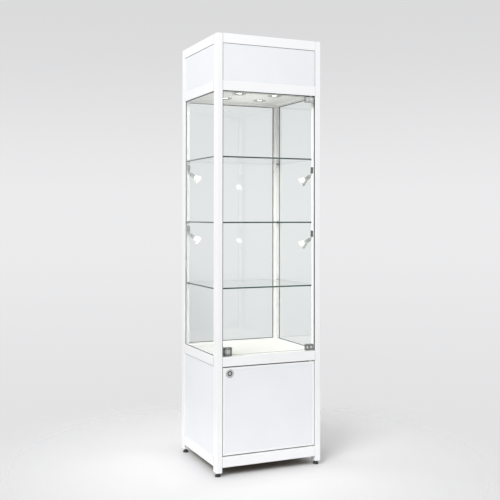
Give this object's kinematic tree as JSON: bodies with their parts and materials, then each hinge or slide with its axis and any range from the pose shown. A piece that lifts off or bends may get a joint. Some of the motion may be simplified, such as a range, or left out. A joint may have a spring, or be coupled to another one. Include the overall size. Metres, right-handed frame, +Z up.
{
  "type": "glass display cabinet",
  "caption": "Tall white-framed glass showcase with shelves, a lit header, tilting spotlights, a hinged glass door with lock and a lockable cupboard below.",
  "frame": {"origin": "floor level, at the centre of the cabinet's footprint", "axes": "+Z up, -Y out of the front (doors), +X to the right as seen from the front"},
  "size_m": [0.5, 0.45, 1.9],
  "materials": {
    "white_coat": "white powder coat",
    "white_panel": "satin white laminate",
    "white_board": "white coated board",
    "white_plastic": "moulded, matt",
    "fixed_glass": "clear float glass",
    "door_glass": "clear toughened glass",
    "shelf_glass": "clear glass, polished edge",
    "gasket": "grey glazing rubber",
    "chrome": "bright plated",
    "lock_metal": "turned and plated",
    "steel": "zinc plated",
    "lens": "opal diffuser",
    "black_plastic": "moulded, matt"
  },
  "bodies": {
    "cabinet": {"cable_grommet": "gasket", "ceiling": "white_board", "cupboard_floor": "white_board", "cupboard_panel_left": "white_panel", "cupboard_panel_rear": "white_panel", "cupboard_panel_right": "white_panel", "deck": "white_board", "door_bushes": "white_plastic", "downlight_bezels": "chrome", "downlight_lenses": "lens", "foot_inserts": "steel", "glass_left": "fixed_glass", "glass_rear": "fixed_glass", "glass_right": "fixed_glass", "glazing_gaskets": "gasket", "header_panel_front": "white_panel", "header_panels": "white_panel", "header_rail_front": "white_coat", "header_rails": "white_coat", "lamp_driver": "white_plastic", "middle_rail_front": "white_coat", "middle_rails": "white_coat", "plinth_rail_front": "white_coat", "plinth_rails": "white_coat", "post_caps": "white_plastic", "post_front_left": "white_coat", "post_front_right": "white_coat", "post_rear_left": "white_coat", "post_rear_right": "white_coat", "rail_connectors": "steel", "roof": "white_board", "shelf_clips": "chrome", "shelf_lower": "shelf_glass", "shelf_middle": "shelf_glass", "shelf_upper": "shelf_glass", "spot_bases": "chrome", "top_rail_front": "white_coat", "top_rails": "white_coat"},
    "glass_door": {"glass_door_pane": "door_glass", "glass_door_clamps": "chrome", "glass_lock_case": "chrome"},
    "door_lock_cylinder": {"glass_lock_cylinder": "lock_metal"},
    "door_lock_bolt": {"glass_lock_bolt": "steel"},
    "cupboard_door": {"cupboard_door_panel": "white_panel", "cupboard_door_edges": "white_coat", "cupboard_door_pins": "steel", "cupboard_lock_barrel": "chrome"},
    "cupboard_lock": {"cupboard_lock_plug": "lock_metal"},
    "swivel_rear_left_lower": {"spot_arm_rear_left_lower": "chrome"},
    "lamp_rear_left_lower": {"spot_head_rear_left_lower": "chrome"},
    "swivel_rear_left_upper": {"spot_arm_rear_left_upper": "chrome"},
    "lamp_rear_left_upper": {"spot_head_rear_left_upper": "chrome"},
    "swivel_front_right_lower": {"spot_arm_front_right_lower": "chrome"},
    "lamp_front_right_lower": {"spot_head_front_right_lower": "chrome"},
    "swivel_front_right_upper": {"spot_arm_front_right_upper": "chrome"},
    "lamp_front_right_upper": {"spot_head_front_right_upper": "chrome"},
    "levelling_front_left": {"foot_front_left": "black_plastic"},
    "levelling_front_right": {"foot_front_right": "black_plastic"},
    "levelling_rear_left": {"foot_rear_left": "black_plastic"},
    "levelling_rear_right": {"foot_rear_right": "black_plastic"}
  },
  "joints": [
    {"name": "glass_door_swing", "type": "hinge", "parent": "cabinet", "child": "glass_door", "pos_m": [0.203, -0.218, 0.511], "axis": [0, 0, 1], "range_deg": [0, 110]},
    {"name": "door_lock_turn", "type": "hinge", "parent": "glass_door", "child": "door_lock_cylinder", "pos_m": [-0.1975, -0.2163, 0.532], "axis": [0, 1, 0], "range_deg": [0, 90]},
    {"name": "door_lock_throw", "type": "slide", "parent": "glass_door", "child": "door_lock_bolt", "axis": [0, 0, -1], "range_m": [0, 0.00636]},
    {"name": "cupboard_door_swing", "type": "hinge", "parent": "cabinet", "child": "cupboard_door", "pos_m": [0.203, -0.218, 0.088], "axis": [0, 0, 1], "range_deg": [0, 110]},
    {"name": "cupboard_lock_turn", "type": "hinge", "parent": "cupboard_door", "child": "cupboard_lock", "pos_m": [-0.189, -0.21, 0.4385], "axis": [0, 1, 0], "range_deg": [0, 90]},
    {"name": "spot_pan_rear_left_lower", "type": "hinge", "parent": "cabinet", "child": "swivel_rear_left_lower", "pos_m": [-0.231, 0.178, 1.041], "axis": [0, 0, 1], "range_deg": [-20, 20]},
    {"name": "spot_tilt_rear_left_lower", "type": "hinge", "parent": "swivel_rear_left_lower", "child": "lamp_rear_left_lower", "pos_m": [-0.231, 0.178, 1.032], "axis": [0.6691, 0.7431, 0], "range_deg": [-30, 15]},
    {"name": "spot_pan_rear_left_upper", "type": "hinge", "parent": "cabinet", "child": "swivel_rear_left_upper", "pos_m": [-0.231, 0.178, 1.327], "axis": [0, 0, 1], "range_deg": [-20, 20]},
    {"name": "spot_tilt_rear_left_upper", "type": "hinge", "parent": "swivel_rear_left_upper", "child": "lamp_rear_left_upper", "pos_m": [-0.231, 0.178, 1.318], "axis": [0.6691, 0.7431, 0], "range_deg": [-30, 15]},
    {"name": "spot_pan_front_right_lower", "type": "hinge", "parent": "cabinet", "child": "swivel_front_right_lower", "pos_m": [0.231, -0.178, 1.025], "axis": [0, 0, 1], "range_deg": [-20, 20]},
    {"name": "spot_tilt_front_right_lower", "type": "hinge", "parent": "swivel_front_right_lower", "child": "lamp_front_right_lower", "pos_m": [0.231, -0.178, 1.016], "axis": [-0.6691, -0.7431, 0], "range_deg": [-30, 15]},
    {"name": "spot_pan_front_right_upper", "type": "hinge", "parent": "cabinet", "child": "swivel_front_right_upper", "pos_m": [0.231, -0.178, 1.311], "axis": [0, 0, 1], "range_deg": [-20, 20]},
    {"name": "spot_tilt_front_right_upper", "type": "hinge", "parent": "swivel_front_right_upper", "child": "lamp_front_right_upper", "pos_m": [0.231, -0.178, 1.302], "axis": [-0.6691, -0.7431, 0], "range_deg": [-30, 15]},
    {"name": "foot_level_front_left", "type": "slide", "parent": "cabinet", "child": "levelling_front_left", "axis": [0, 0, -1], "range_m": [0, 0.012]},
    {"name": "foot_level_front_right", "type": "slide", "parent": "cabinet", "child": "levelling_front_right", "axis": [0, 0, -1], "range_m": [0, 0.012]},
    {"name": "foot_level_rear_left", "type": "slide", "parent": "cabinet", "child": "levelling_rear_left", "axis": [0, 0, -1], "range_m": [0, 0.012]},
    {"name": "foot_level_rear_right", "type": "slide", "parent": "cabinet", "child": "levelling_rear_right", "axis": [0, 0, -1], "range_m": [0, 0.012]}
  ],
  "couplings": [
    {"joint": "door_lock_turn", "follows": "door_lock_throw", "rad_per_m": 246.82}
  ]
}
